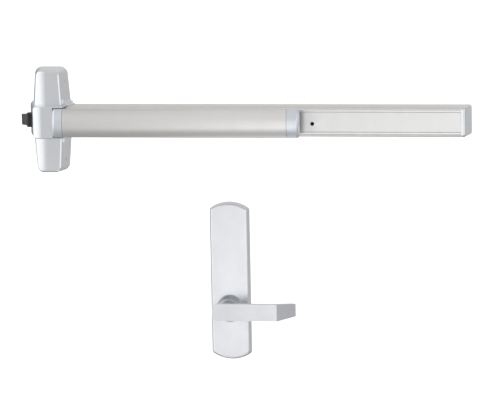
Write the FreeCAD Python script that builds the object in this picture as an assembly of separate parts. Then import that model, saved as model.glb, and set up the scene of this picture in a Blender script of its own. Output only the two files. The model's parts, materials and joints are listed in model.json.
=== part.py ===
import FreeCAD, Part
import os
import math

# Rim exit device (push bar lock for an escape door) with its outside lever trim.
# Row frame, millimetres: +X along the bar away from the latch, +Y into the door,
# +Z up.  Origin on the door face at the middle of the centre case.

V = FreeCAD.Vector
os.makedirs("parts", exist_ok=True)

# ---------------------------------------------------------------- dimensions
CASE_H = 203.0          # centre case height
CASE_D = 60.0           # lobe depth from the door
BAND_D = 84.0           # depth of the middle band of the centre case
BAND_Z = 30.0           # half height of the middle band at its front
BAND_Z0 = 35.0          # and at the door
BAND_XL = -43.6         # left side of the middle band at the door
BAND_XF = -17.0         # and at its front: the side slopes
BAND_XR = 21.5          # right side of the middle band, where the pad's end begins
HOOD_X = 41.5           # its top and bottom reach on over and under the pad's end
COLLAR_X = 45.5         # end of the collar that holds the mechanism case
WALL = 3.0              # cast wall

MC_H = 57.0             # mechanism case, outside height
MC_D = 57.0             # mechanism case, outside depth
MC_W = 2.5              # its wall
MC_X0, MC_X1 = 36.0, 811.0
LIP_Z = 19.5            # half height of its front opening
MC_R = 7.0              # front corner radius

PAD_X0, PAD_X1 = 43.0, 482.0
CAP_L, CAP_R = 23.3, 504.5
PAD_Y = -97.0           # crown of the push pad at rest
PAD_BACK = -77.0        # rear edge of the pad skirt at rest
PAD_Z = 27.4            # half height of the push pad
TRAVEL = 19.0           # pad stroke, and latch throw

COVER_X0 = 484.0
END_X = 819.0           # end cap, front edge
END_XB = 823.6          # end cap, door edge

CR_R = 39.0             # both crank arms
CR_Y = -49.0            # crank pivot depth
CR_X = (130.0, 430.0)   # crank pivots along the bar
PHI = math.degrees(math.asin(TRAVEL / 2.0 / CR_R))

DOG_X, DOG_Z = 525.0, -3.5

TX, TZ = 349.0, -315.0  # trim plate centre
TW, TH = 78.0, 308.0
T_D = 14.0              # trim plate depth
HZ = -368.0             # lever axis height
LIFT_R = 12.0           # cam pin radius

# ---------------------------------------------------------------- helpers
def box(x0, x1, y0, y1, z0, z1):
    return Part.makeBox(x1 - x0, y1 - y0, z1 - z0, V(x0, y0, z0))

def cyl(axis, r, a0, a1, p, q):
    """Cylinder along an axis from a0 to a1; (p, q) are the other two coordinates."""
    h = a1 - a0
    if axis == "x":
        return Part.makeCylinder(r, h, V(a0, p, q), V(1, 0, 0))
    if axis == "y":
        return Part.makeCylinder(r, h, V(p, a0, q), V(0, 1, 0))
    return Part.makeCylinder(r, h, V(p, q, a0), V(0, 0, 1))

def put(plane, u, v, w):
    """Plane xz -> (u, w, v); yz -> (w, u, v); xy -> (u, v, w)."""
    if plane == "xz":
        return V(u, w, v)
    if plane == "yz":
        return V(w, u, v)
    return V(u, v, w)

def rwire(pts, plane, w):
    """Closed wire through (u, v, r) corners, each corner rounded to r."""
    n = len(pts)
    tan = []
    for i in range(n):
        u, v, r = pts[i]
        pu, pv, _ = pts[i - 1]
        nu, nv, _ = pts[(i + 1) % n]
        a = V(pu - u, pv - v, 0)
        b = V(nu - u, nv - v, 0)
        a.normalize()
        b.normalize()
        if r <= 0:
            tan.append((V(u, v, 0), None, V(u, v, 0)))
            continue
        half = a.getAngle(b) / 2.0
        t = r / math.tan(half)
        bis = a + b
        bis.normalize()
        c = V(u, v, 0) + bis * (r / math.sin(half))
        m = c - bis * r
        tan.append((V(u, v, 0) + a * t, m, V(u, v, 0) + b * t))
    es = []
    for i in range(n):
        s, m, e = tan[i]
        if m is not None:
            es.append(Part.Arc(put(plane, s.x, s.y, w), put(plane, m.x, m.y, w),
                               put(plane, e.x, e.y, w)).toShape())
        s2 = tan[(i + 1) % n][0]
        if (s2 - e).Length > 1e-6:
            es.append(Part.LineSegment(put(plane, e.x, e.y, w),
                                       put(plane, s2.x, s2.y, w)).toShape())
    return Part.Wire(es)

def rprism(pts, plane, w0, w1):
    f = Part.Face(rwire(pts, plane, w0))
    return f.extrude(put(plane, 0, 0, w1 - w0))

def fuse(*shapes):
    s = shapes[0]
    if len(shapes) > 1:
        s = s.multiFuse(list(shapes[1:]))
    s = s.removeSplitter()
    return s

def cut(s, *tools):
    for t in tools:
        s = s.cut(t)
    return s

def fil(s, r, pick):
    es = [e for e in s.Edges if pick(e)]
    return s.makeFillet(r, es) if es else s

def group(shapes):
    return Part.makeCompound(shapes)

def spring(axis, R, wire, a0, a1, p, q, turns):
    """Open coil spring along an axis between a0 and a1 (outside ends)."""
    h = (a1 - a0) - 2.0 * wire - 0.04
    pitch = h / turns
    hx = Part.makeHelix(pitch, h, R)
    # the wire's section is a twelve-sided ring with the area of a round one
    n = 12
    k = math.sqrt((2 * math.pi / n) / math.sin(2 * math.pi / n))
    ring = [V(R + k * wire * math.cos(2 * math.pi * (i + 0.5) / n), 0,
              k * wire * math.sin(2 * math.pi * (i + 0.5) / n)) for i in range(n)]
    prof = Part.makePolygon(ring + [ring[0]])
    s = Part.Wire(hx.Edges).makePipeShell([prof], True, True)
    if axis == "x":
        s.rotate(V(0, 0, 0), V(0, 1, 0), 90)
        s.translate(V(a0 + wire + 0.02, p, q))
    elif axis == "y":
        s.rotate(V(0, 0, 0), V(1, 0, 0), -90)
        s.translate(V(p, a0 + wire + 0.02, q))
    else:
        s.translate(V(p, q, a0 + wire + 0.02))
    return s

def socket_screw(axis, r, rh, head0, head1, tip, p, q, hexr):
    """Screw with its head between head0 and head1 and its shank on to tip."""
    lo, hi = min(head0, head1), max(head0, head1)
    h = cyl(axis, rh, lo, hi, p, q)
    a, b = min(head1, tip), max(head1, tip)
    sh = cyl(axis, r, a, b, p, q)
    d = 0.6 * (hi - lo)
    out = 1 if head0 > head1 else -1
    e0, e1 = (head0 - d, head0 + 1) if out > 0 else (head0 - 1, head0 + d)
    poly = []
    for k in range(6):
        a_ = math.radians(60 * k + 30)
        poly.append((hexr * math.cos(a_), hexr * math.sin(a_), 0))
    if axis == "x":
        hx = rprism([(p + u, q + v, 0) for u, v, _ in poly], "yz", e0, e1)
    elif axis == "y":
        hx = rprism([(p + u, q + v, 0) for u, v, _ in poly], "xz", e0, e1)
    else:
        hx = rprism([(p + u, q + v, 0) for u, v, _ in poly], "xy", e0, e1)
    return h.fuse(sh).removeSplitter().cut(hx)

NODES = {}

def emit(name, shape):
    NODES[name] = shape

# ---------------------------------------------------------------- centre case cover
H2 = CASE_H / 2.0

def lobe_outline(lt, lm, rt, rm, h, r):
    """Left and right half widths at the ends and at the middle, half height, corner radius."""
    return [(-lt, -h, r), (rt, -h, r), (rm, -30.0, 60.0), (rm, 30.0, 60.0),
            (rt, h, r), (-lt, h, r), (-lm, 30.0, 60.0), (-lm, -30.0, 60.0)]

def loft2(a, b, plane, wa, wb):
    return Part.makeLoft([rwire(a, plane, wa), rwire(b, plane, wb)], True, True)

def crown(x1, depth, R, z):
    """Room under a front that is flat to the right of x1 and curves back to its left."""
    def y(x):
        return -depth + R - math.sqrt(R * R - (x - x1) ** 2)
    xa, xb = x1 - 20.0, x1 - 44.0
    es = [Part.Arc(V(x1, -depth, -z), V(xa, y(xa), -z), V(xb, y(xb), -z)).toShape(),
          Part.LineSegment(V(xb, y(xb), -z), V(-70, y(xb), -z)).toShape(),
          Part.LineSegment(V(-70, y(xb), -z), V(-70, 1, -z)).toShape(),
          Part.LineSegment(V(-70, 1, -z), V(70, 1, -z)).toShape(),
          Part.LineSegment(V(70, 1, -z), V(70, -depth, -z)).toShape(),
          Part.LineSegment(V(70, -depth, -z), V(x1, -depth, -z)).toShape()]
    return Part.Face(Part.Wire(es)).extrude(V(0, 0, 2 * z))

def soften(s, pick, radii):
    for r in radii:
        try:
            t = fil(s, r, pick)
            if t.isValid() and len(t.Solids) == 1:
                return t
        except Exception:
            pass
    print("CHECK no fillet")
    return s

LB0 = (31.8, 37.6, 31.8, 37.6, H2, 15.0)
LB1 = (15.0, 20.0, 30.0, 33.8, H2 - 2.6, 11.0)
lobes = loft2(lobe_outline(*LB0), lobe_outline(*LB1), "xz", 0.0, -CASE_D)
lobes = lobes.common(crown(4.0, CASE_D - 0.01, 70.0, 120.0))
lobes = soften(lobes, lambda e: all(v.Point.y < -CASE_D + 9.0 for v in e.Vertexes)
               and not (len(e.Vertexes) == 2 and abs(e.Vertexes[0].Point.x - e.Vertexes[1].Point.x) < 1e-4
                        and abs(e.Vertexes[0].Point.x - 4.0) < 1e-3), (4.0, 3.0, 2.0))
B0 = [(BAND_XL, -BAND_Z0, 9.0), (HOOD_X, -BAND_Z0, 0.0), (HOOD_X, BAND_Z0, 0.0), (BAND_XL, BAND_Z0, 9.0)]
B1 = [(BAND_XF, -BAND_Z - 1.0, 7.0), (HOOD_X, -BAND_Z - 1.0, 0.0), (HOOD_X, BAND_Z + 1.0, 0.0),
      (BAND_XF, BAND_Z + 1.0, 7.0)]
band = loft2(B0, B1, "xz", 0.0, -BAND_D)
band = band.common(crown(1.0, BAND_D - 0.01, 50.0, 60.0))
band = soften(band, lambda e: all(v.Point.y < -BAND_D + 12.0 for v in e.Vertexes)
              and not all(abs(v.Point.x - HOOD_X) < 1e-3 for v in e.Vertexes)
              and not (len(e.Vertexes) == 2 and abs(e.Vertexes[0].Point.x - 1.0) < 1e-3
                       and abs(e.Vertexes[1].Point.x - 1.0) < 1e-3), (1.9, 1.5))

def collar(sign):
    s = sign
    arc = Part.Arc(V(36.9, 0, s * 41.5), V(38.9, 0, s * 34.0), V(COLLAR_X, 0, s * 29.9)).toShape()
    l1 = Part.LineSegment(V(COLLAR_X, 0, s * 29.9), V(COLLAR_X, 0, s * 28.75)).toShape()
    l2 = Part.LineSegment(V(COLLAR_X, 0, s * 28.75), V(20, 0, s * 28.75)).toShape()
    l3 = Part.LineSegment(V(20, 0, s * 28.75), V(20, 0, s * 41.5)).toShape()
    l4 = Part.LineSegment(V(20, 0, s * 41.5), V(36.9, 0, s * 41.5)).toShape()
    f = Part.Face(Part.Wire([arc, l1, l2, l3, l4]))
    b = f.extrude(V(0, -49.5, 0))
    return b

cover = fuse(lobes, band, collar(1), collar(-1))
# hollow inside, open at the back
inner = loft2(lobe_outline(28.2, 34.2, 28.2, 34.2, H2 - WALL, 12.5),
              lobe_outline(13.4, 18.5, 27.0, 31.0, H2 - 5.6, 9.0), "xz", 0.5, -53.5)
IN_X0, IN_XF, IN_YF = BAND_XL + 3.4, BAND_XF + 1.5, -77.0
inner_band = loft2([(IN_X0, -31.5, 6.0), (18.8, -31.5, 0.0), (18.8, 31.5, 0.0), (IN_X0, 31.5, 6.0)],
                   [(IN_XF, -26.5, 4.0), (18.8, -26.5, 0.0), (18.8, 26.5, 0.0), (IN_XF, 26.5, 4.0)],
                   "xz", 0.5, IN_YF)
cover = cut(cover, inner, inner_band)
# room for the mechanism case, and for the pad end when it is pressed
cover = cut(cover, box(18.8, 60.0, -57.3, 0.5, -28.75, 28.75))
cover = cut(cover, box(BAND_XR + 0.02, 60.0, -95.0, -57.3, -28.75, 28.75))
# latch window
cover = cut(cover, box(-52.0, -24.0, -38.6, -12.8, -14.4, 14.4))
# side screw holes
SIDE_Z, SIDE_Y = 76.0, -27.0
for sz in (-1, 1):
    cover = cut(cover, cyl("x", 2.2, 20.0, 40.0, SIDE_Y, sz * SIDE_Z),
                cyl("x", 3.5, 30.8, 40.0, SIDE_Y, sz * SIDE_Z))
emit("centre_case_cover", cover)

emit("case_side_screws", group([socket_screw("x", 2.0, 3.3, 32.4, 30.8, 20.5, SIDE_Y, sz * SIDE_Z, 1.5)
                                for sz in (-1, 1)]))

# ---------------------------------------------------------------- centre base plate
base = rprism([(-26.5, -90.0, 9), (26.5, -90.0, 9), (26.5, 90.0, 9), (-26.5, 90.0, 9)], "xz", -3.0, 0.0)
BP_X, BP_Z, BP_R = 18.0, 70.0, 3.4
for sx in (-1, 1):
    for sz in (-1, 1):
        base = cut(base, cyl("y", BP_R, -5.0, 1.0, sx * BP_X, sz * BP_Z))
        if sx > 0:
            # bent ear that takes a cover screw
            ear = box(22.4, 24.4, -32.0, -3.0, sz * SIDE_Z - 8.0, sz * SIDE_Z + 8.0)
            ear = cut(ear, cyl("x", 2.0, 21.4, 25.4, SIDE_Y, sz * SIDE_Z))
        else:
            # short tab that locates the cover's sloping side
            ear = box(-26.0, -24.0, -9.0, -3.0, sz * SIDE_Z - 8.0, sz * SIDE_Z + 8.0)
        base = base.fuse(ear)
base = base.removeSplitter()
emit("centre_base_plate", base)

# ---------------------------------------------------------------- latch set
guide = box(-37.0, 9.0, -41.0, -3.0, -17.6, 17.6)
guide = cut(guide, box(-38.0, 10.0, -38.2, -13.6, -14.0, 14.0))
guide = cut(guide, box(-2.0, 10.0, -38.2, -2.9, -14.0, 14.0))
guide = fuse(guide, box(-37.0, 9.0, -5.0, -3.0, -26.0, -17.6), box(-37.0, 9.0, -5.0, -3.0, 17.6, 26.0))
guide = fuse(guide, box(6.6, 9.0, -39.0, -34.6, -5.0, 5.0))
# its mouth follows the sloping side of the case
slope = (IN_XF - IN_X0) / (0.5 - IN_YF)
g0, g1 = IN_X0 + 0.5 + slope * 0.5, IN_X0 + 0.5 + slope * 45.5
guide = cut(guide, rprism([(-60.0, 0.0, 0), (-60.0, -45.0, 0), (g1, -45.0, 0), (g0, 0.0, 0)],
                          "xy", -30.0, 30.0))
for sz in (-1, 1):
    for xx in (-28.0, 0.0):
        guide = cut(guide, cyl("y", 2.0, -6.0, -2.0, xx, sz * 22.0))
emit("latch_guide", guide)
rv = []
for sz in (-1, 1):
    for xx in (-28.0, 0.0):
        rv.append(cyl("y", 1.95, -5.0, -3.02, xx, sz * 22.0).fuse(
            cyl("y", 3.2, -6.2, -5.0, xx, sz * 22.0)).removeSplitter())
emit("latch_guide_rivets", group(rv))

nose = rprism([(-57.0, -14.0, 1.0), (-57.0, -19.5, 2.0), (-43.5, -34.0, 3.0), (10.0, -34.0, 0),
               (10.0, -14.0, 0)], "xy", -10.5, 10.5)
tongue = box(10.0, 25.0, -22.0, -6.5, -2.4, 2.4)
latch = fuse(nose, tongue)
latch = cut(latch, cyl("x", 2.6, -22.0, 11.0, -28.0, 0.0))
LP_X, LP_Y = 18.0, -12.0
latch = cut(latch, cyl("z", 2.8, -4.0, 4.0, LP_X, LP_Y))
latch = fil(latch, 0.8, lambda e: (all(v.Point.x < -42 for v in e.Vertexes) and
                                   abs(e.Vertexes[0].Point.z - e.Vertexes[-1].Point.z) < 1e-6))
emit("latch_bolt", latch)

DL_X0, DL_X1 = -44.0, -16.0
dl_o = rprism([(DL_X0, -14.0, 1.5), (DL_X0, -31.0, 2.0), (-39.0, -37.4, 2.0), (DL_X1, -37.4, 0),
               (DL_X1, -14.0, 0)], "xy", -13.5, 13.5)
dl = cut(dl_o, box(-70.0, 0.0, -35.0, 0.0, -11.0, 11.0))
emit("dead_latch", dl)

emit("latch_spring", spring("x", 4.4, 0.6, 10.2, 43.8, -28.0, 0.0, 7))
emit("dead_latch_spring", spring("x", 1.25, 0.3, DL_X1 + 0.1, 6.5, -36.3, 0.0, 8))

stop = box(44.0, 47.0, -36.0, -2.5, -9.0, 9.0)
stop = fuse(stop, box(36.5, 47.0, -4.5, -2.5, -9.0, 9.0))
stop = cut(stop, box(30.0, 50.0, -17.4, -4.6, 2.2, 6.8))
stop = cut(stop, box(30.0, 50.0, -23.0, -4.6, -3.2, 3.2))
stop = fuse(stop, cyl("x", 2.2, 0.5, 44.5, -28.0, 0.0))
emit("latch_spring_stop", stop)

# ---------------------------------------------------------------- link bar
LZ0, LZ1 = 3.0, 6.0
link = rprism([(11.0, -16.6, 3), (548.0, -16.6, 3), (548.0, -5.2, 3), (11.0, -5.2, 3)], "xy", LZ0, LZ1)
link = cut(link, cyl("z", 2.5, LZ0 - 1, LZ1 + 1, LP_X, LP_Y))
for xc in CR_X:
    bx = xc - TRAVEL / 2.0
    y_lo = CR_Y + CR_R * math.cos(math.radians(PHI))
    y_hi = CR_Y + CR_R
    slot = box(bx - 2.8, bx + 2.8, y_lo, y_hi, LZ0 - 1, LZ1 + 1)
    slot = slot.fuse(cyl("z", 2.8, LZ0 - 1, LZ1 + 1, bx, y_lo)).fuse(cyl("z", 2.8, LZ0 - 1, LZ1 + 1, bx, y_hi))
    link = cut(link, slot)
# dogging lug riveted under the bar, just short of the dogging cam
TOOTH0 = DOG_X + 0.4 - TRAVEL
LUG_X, LUG_Y = TOOTH0 + 4.0, -11.0
link = cut(link, cyl("z", 1.62, LZ0 - 1, LZ1 + 1, LUG_X, LUG_Y))
emit("dogging_lug", fuse(box(TOOTH0, TOOTH0 + 8.0, -15.4, -6.6, -2.4, LZ0 - 0.02),
                         cyl("z", 1.6, LZ0 - 0.1, LZ1, LUG_X, LUG_Y)))
# lug that carries the damper rod
link = fuse(link, box(392.0, 396.0, -16.6, -5.2, LZ0, 22.0))
link = cut(link, cyl("x", 2.0, 391.0, 397.0, -11.0, 16.0))
emit("link_bar", link)
emit("latch_link_pin", fuse(cyl("z", 2.5, -3.6, LZ1, LP_X, LP_Y), cyl("z", 3.8, LZ1, LZ1 + 1.4, LP_X, LP_Y)))

# ---------------------------------------------------------------- return damper (along the link)
dm = cyl("x", 5.2, 420.0, 472.0, -11.0, 16.0)
dm = cut(dm, cyl("x", 2.05, 419.0, 463.0, -11.0, 16.0))
emit("damper_body", dm)
dr = fuse(cyl("x", 2.0, 392.0, 441.0, -11.0, 16.0), cyl("x", 3.2, 396.02, 398.0, -11.0, 16.0),
          cyl("x", 3.2, 390.0, 391.98, -11.0, 16.0))
emit("damper_rod", dr)
dc = []
for xx in (447.0, 464.0):
    c = box(xx, xx + 6.0, -17.4, -2.5, 9.6, 22.4)
    c = cut(c, cyl("x", 5.25, xx - 1, xx + 7, -11.0, 16.0))
    dc.append(c)
emit("damper_clips", group(dc))

# ---------------------------------------------------------------- mechanism case (extrusion)
def mc_profile(r, inset, y0):
    h = MC_H / 2.0 - inset
    return [(y0, -h, 0), (-MC_D + inset, -h, r), (-MC_D + inset, h, r), (y0, h, 0)]

mc = rprism(mc_profile(MC_R, 0.0, 0.0), "yz", MC_X0, MC_X1)
mc_in = rprism([(-MC_W, -MC_H / 2 + MC_W, 1.0), (-MC_D + MC_W, -MC_H / 2 + MC_W, MC_R - MC_W),
                (-MC_D + MC_W, MC_H / 2 - MC_W, MC_R - MC_W), (-MC_W, MC_H / 2 - MC_W, 1.0)],
               "yz", MC_X0 - 1, MC_X1 + 1)
mc = cut(mc, mc_in, box(MC_X0 - 1, MC_X1 + 1, -MC_D - 1, -MC_D + MC_W + 1, -LIP_Z, LIP_Z))
# shallow grooves along the top and bottom of the front lips
for s in (-1, 1):
    z = s * 21.4
    mc = cut(mc, box(MC_X0 - 1, MC_X1 + 1, -MC_D - 0.1, -MC_D + 0.5, z - 0.35, z + 0.35))
# ledges that the cover plate's edges slide behind
for s in (-1, 1):
    z0, z1 = (22.6, 26.1) if s > 0 else (-26.1, -22.6)
    mc = mc.fuse(box(MC_X0, MC_X1, -52.6, -51.2, z0, z1))
# the back wall is left out over the end bracket
mc = cut(mc, box(776.0, MC_X1 + 1, -MC_W - 0.1, 1.0, -MC_H / 2 + MC_W + 0.4, MC_H / 2 - MC_W - 0.4))
mc = mc.removeSplitter()
# fixing holes in the back wall
RAIL_X = (60.0, 560.0)
for xx in RAIL_X:
    for s in (-1, 1):
        mc = cut(mc, cyl("y", 2.6, -4.0, 1.0, xx, s * 18.0))
emit("mechanism_case", mc)

# cover plate, T-shaped section
cp = box(COVER_X0, MC_X1 - 0.2, -MC_D + 0.7, -54.4, -LIP_Z + 0.7, LIP_Z - 0.7)
cp = fuse(cp, box(COVER_X0, MC_X1 - 0.2, -54.4, -52.7, -LIP_Z - 3.0, LIP_Z + 3.0))
cp = cut(cp, cyl("y", 3.8, -60.0, -50.0, DOG_X, DOG_Z))
emit("cover_plate", cp)

# ---------------------------------------------------------------- dogging set
dog = fuse(cyl("y", 5.2, -52.0, -46.0, DOG_X, DOG_Z), cyl("y", 4.0, -46.0, -16.4, DOG_X, DOG_Z))
hexp = [(DOG_X + 2.3 * math.cos(math.radians(60 * k)), DOG_Z + 2.3 * math.sin(math.radians(60 * k)), 0)
        for k in range(6)]
dog = cut(dog, rprism(hexp, "xz", -53.0, -47.2))
cam = cut(cyl("y", 6.0, -16.4, -6.6, DOG_X, DOG_Z),
          box(DOG_X - 8, DOG_X + 8, -17.0, -6.0, DOG_Z, DOG_Z + 8))
dog = fuse(dog, cam)
emit("dogging_screw", dog)
db = box(DOG_X - 13.0, DOG_X + 13.0, -45.6, -42.0, -20.0, 13.0)
db = fuse(db, box(DOG_X - 13.0, DOG_X + 13.0, -42.0, -2.5, -20.0, -17.0),
          box(DOG_X - 13.0, DOG_X + 13.0, -42.0, -2.5, 10.4, 13.0),
          box(DOG_X - 13.0, DOG_X + 13.0, -4.5, -2.5, -24.0, -20.0),
          box(DOG_X - 13.0, DOG_X + 13.0, -4.5, -2.5, 13.0, 22.0))
db = cut(db, cyl("y", 4.05, -46.0, -41.0, DOG_X, DOG_Z))
emit("dogging_bracket", db)
ring = cut(cyl("y", 7.5, -41.9, -38.6, DOG_X, DOG_Z), cyl("y", 4.05, -43.0, -38.0, DOG_X, DOG_Z))
ring = cut(ring, box(DOG_X - 0.6, DOG_X + 0.6, -43.0, -38.0, DOG_Z, DOG_Z + 9.0))
emit("dogging_friction_ring", ring)

# ---------------------------------------------------------------- cranks
def rot_z(shape, xc, deg):
    s = shape.copy()
    s.rotate(V(xc, CR_Y, 0), V(0, 0, 1), deg)
    return s

for tag, xc in zip(("left", "right"), CR_X):
    armA = box(xc - CR_R, xc, CR_Y - 4.5, CR_Y + 4.5, -2.0, 2.0)
    armA = armA.fuse(cyl("z", 4.5, -2.0, 2.0, xc - CR_R, CR_Y))
    armB = box(xc - 4.5, xc + 4.5, CR_Y, CR_Y + CR_R, -2.0, 2.0)
    armB = armB.fuse(cyl("z", 4.5, -2.0, 2.0, xc, CR_Y + CR_R))
    web = rprism([(xc - 20.0, CR_Y, 0), (xc, CR_Y, 0), (xc, CR_Y + 20.0, 0)], "xy", -2.0, 2.0)
    crank = fuse(armA, armB, web, cyl("z", 6.8, -6.0, 6.0, xc, CR_Y))
    crank = cut(crank, cyl("z", 3.06, -9.0, 9.0, xc, CR_Y),
                cyl("z", 2.5, -3.0, 3.0, xc - CR_R, CR_Y), cyl("z", 2.5, -3.0, 3.0, xc, CR_Y + CR_R))
    emit("bell_crank_" + tag, rot_z(crank, xc, PHI))
    pa = cyl("z", 2.5, -7.2, 7.2, xc - CR_R, CR_Y)
    pb = cyl("z", 2.5, -2.6, 7.2, xc, CR_Y + CR_R)
    emit("crank_pins_" + tag, group([rot_z(pa, xc, PHI), rot_z(pb, xc, PHI)]))
    # fixed bracket
    br = box(xc - 16.0, xc + 16.0, -4.5, -2.5, -10.6, 10.6)
    for s in (-1, 1):
        z0, z1 = (8.0, 10.6) if s > 0 else (-10.6, -8.0)
        leg = rprism([(xc - 12.0, -2.5, 0), (xc - 7.0, -55.8, 6.0), (xc + 7.0, -55.8, 6.0),
                      (xc + 12.0, -2.5, 0)], "xy", z0, z1)
        br = br.fuse(leg)
    br = br.removeSplitter()
    br = cut(br, cyl("z", 3.0, -12.0, 12.0, xc, CR_Y))
    emit("crank_bracket_" + tag, br)
    pp = fuse(cyl("z", 3.0, -11.2, 11.2, xc, CR_Y), cyl("z", 4.4, 11.2, 12.6, xc, CR_Y))
    pp = cut(pp, cut(cyl("z", 3.5, -12.0, -10.9, xc, CR_Y), cyl("z", 2.4, -12.5, -10.5, xc, CR_Y)))
    emit("crank_pivot_pin_" + tag, pp)
    # fork on the pad, slotted along X for the crank pin
    ax0 = xc - CR_R
    ax1 = xc - CR_R * math.cos(math.radians(PHI))
    ay = CR_Y - CR_R * math.sin(math.radians(PHI))
    fk = box(ax0 - 9.0, ax1 + 9.0, -85.9, -84.0, -12.5, 12.5)
    for s in (-1, 1):
        z0, z1 = (3.0, 6.0) if s > 0 else (-6.0, -3.0)
        fk = fk.fuse(rprism([(ax0 - 9.0, -84.0, 0), (ax0 - 7.0, ay + 6.0, 4.0),
                             (ax1 + 7.0, ay + 6.0, 4.0), (ax1 + 9.0, -84.0, 0)], "xy", z0, z1))
    fk = fk.removeSplitter()
    slot = box(ax0, ax1, ay - 2.8, ay + 2.8, -8.0, 8.0).fuse(
        cyl("z", 2.8, -8.0, 8.0, ax0, ay)).fuse(cyl("z", 2.8, -8.0, 8.0, ax1, ay))
    emit("pad_fork_" + tag, cut(fk, slot))

# ---------------------------------------------------------------- push pad
def pad_wire(inset, back, x):
    """Section of the pad: a crowned front, rounded edges and a skirt."""
    zc = PAD_Z - inset
    yc = PAD_Y + inset
    r = 4.5 - min(inset, 3.0)
    ye = yc + 5.6          # where the crown meets the rounded edge
    ze = zc - r * 0.72
    m = 0.70710678
    pts = [put("yz", back, -zc, x), put("yz", ye + r * 0.95, -zc, x)]
    es = [Part.LineSegment(pts[0], pts[1]).toShape()]
    es.append(Part.Arc(pts[1], put("yz", ye + r * 0.22, -zc + r * 0.24, x), put("yz", ye, -ze, x)).toShape())
    es.append(Part.Arc(put("yz", ye, -ze, x), put("yz", yc, 0.0, x), put("yz", ye, ze, x)).toShape())
    es.append(Part.Arc(put("yz", ye, ze, x), put("yz", ye + r * 0.22, zc - r * 0.24, x),
                       put("yz", ye + r * 0.95, zc, x)).toShape())
    es.append(Part.LineSegment(put("yz", ye + r * 0.95, zc, x), put("yz", back, zc, x)).toShape())
    es.append(Part.LineSegment(put("yz", back, zc, x), put("yz", back, -zc, x)).toShape())
    return Part.Wire(es)

def pad_solid(inset, back, x0, x1):
    return Part.Face(pad_wire(inset, back, x0)).extrude(V(x1 - x0, 0, 0))

pad = cut(pad_solid(0.0, PAD_BACK, PAD_X0, PAD_X1), pad_solid(2.0, PAD_BACK + 1, PAD_X0 - 1, PAD_X1 + 1))
emit("push_pad", pad)

car = box(PAD_X0 + 2, PAD_X1 - 2, -88.0, -86.0, -15.5, 15.5)
for s in (-1, 1):
    z0, z1 = (13.5, 15.5) if s > 0 else (-15.5, -13.5)
    car = car.fuse(box(PAD_X0 + 2, PAD_X1 - 2, -86.0, -60.5, z0, z1))
    z0, z1 = (15.5, PAD_Z - 2.05) if s > 0 else (-PAD_Z + 2.05, -15.5)
    car = car.fuse(box(PAD_X0 + 2, PAD_X1 - 2, -79.2, -77.2, z0, z1))
car = car.removeSplitter()
emit("pad_carrier", car)

def end_piece(x_in, x_out):
    lo, hi = min(x_in, x_out), max(x_in, x_out)
    # the outer end is rounded over by stepping the section inwards
    sg = 1.0 if x_out > x_in else -1.0
    rr = 4.2
    secs = [pad_wire(-0.15, PAD_BACK, x_in)]
    for k in range(6):
        t = math.radians(18.0 * k)
        secs.append(pad_wire(-0.15 + rr * (1 - math.cos(t)) * 0.9, PAD_BACK,
                             x_out - sg * rr * (1 - math.sin(t))))
    s = Part.makeLoft(secs, True, True)
    d = 1.0 if x_out > x_in else -1.0
    a, b = x_in - d * 1.0, x_out - d * 3.0
    s = cut(s, pad_solid(2.6, PAD_BACK + 1, min(a, b), max(a, b)))
    # rib plate that closes the back
    s = s.fuse(box(min(x_in, x_out - d * 3.0), max(x_in, x_out - d * 3.0), -79.2, -77.2,
                   -PAD_Z + 2.4, PAD_Z - 2.4))
    return s.removeSplitter()

emit("pad_end_cap_left", end_piece(PAD_X0, CAP_L))
emit("pad_end_cap_right", end_piece(PAD_X1, CAP_R))

ps = []
for xc in CR_X:
    ax0 = xc - CR_R
    for dx in (-5.0, 6.0):
        for z in (-9.5, 9.5):
            ps.append(fuse(cyl("y", 1.6, -89.6, -83.98, ax0 + dx, z), cyl("y", 2.8, -83.98, -82.6, ax0 + dx, z)))
holes = []
for xc in CR_X:
    ax0 = xc - CR_R
    for dx in (-5.0, 6.0):
        for z in (-9.5, 9.5):
            holes.append(cyl("y", 1.6, -89.8, -83.0, ax0 + dx, z))
for tag in ("left", "right"):
    NODES["pad_fork_" + tag] = cut(NODES["pad_fork_" + tag], *holes)
NODES["pad_carrier"] = cut(NODES["pad_carrier"], *holes)
emit("fork_screws", group(ps))

# return springs between the pad carrier and the back of the mechanism case
SP_X = (64.0, 468.0)
spp = []
for xx in SP_X:
    post = fuse(cyl("y", 3.4, -22.0, -4.5, xx, -4.4), box(xx - 9, xx + 9, -4.5, -2.5, -12.0, 2.4))
    spp.append(post)
emit("return_spring_seats", group(spp))
for tag, xx in zip(("left", "right"), SP_X):
    emit("return_spring_" + tag, spring("y", 5.2, 0.7, -85.8, -4.6, xx, -4.4, 8))

# nylon liners between the case lips and the pad carrier
ln = []
for x0 in (70.0, 250.0, 440.0):
    for s in (-1, 1):
        z0, z1 = (16.2, LIP_Z - 0.02) if s > 0 else (-LIP_Z + 0.02, -16.2)
        l = box(x0, x0 + 34.0, -56.4, -50.0, z0, z1)
        z2, z3 = (LIP_Z - 0.02, 22.0) if s > 0 else (-22.0, -LIP_Z + 0.02)
        l = fuse(l, box(x0, x0 + 34.0, -54.4, -52.7, z2, z3))
        ln.append(l)
emit("pad_guide_liners", group(ln))

# ---------------------------------------------------------------- end cap and bracket
def end_outline(h, d0, r1, r2, x1):
    return [(MC_X1, -h, 0), (x1, -h, r1), (x1, h, r1), (MC_X1, h, 0)]

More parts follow.
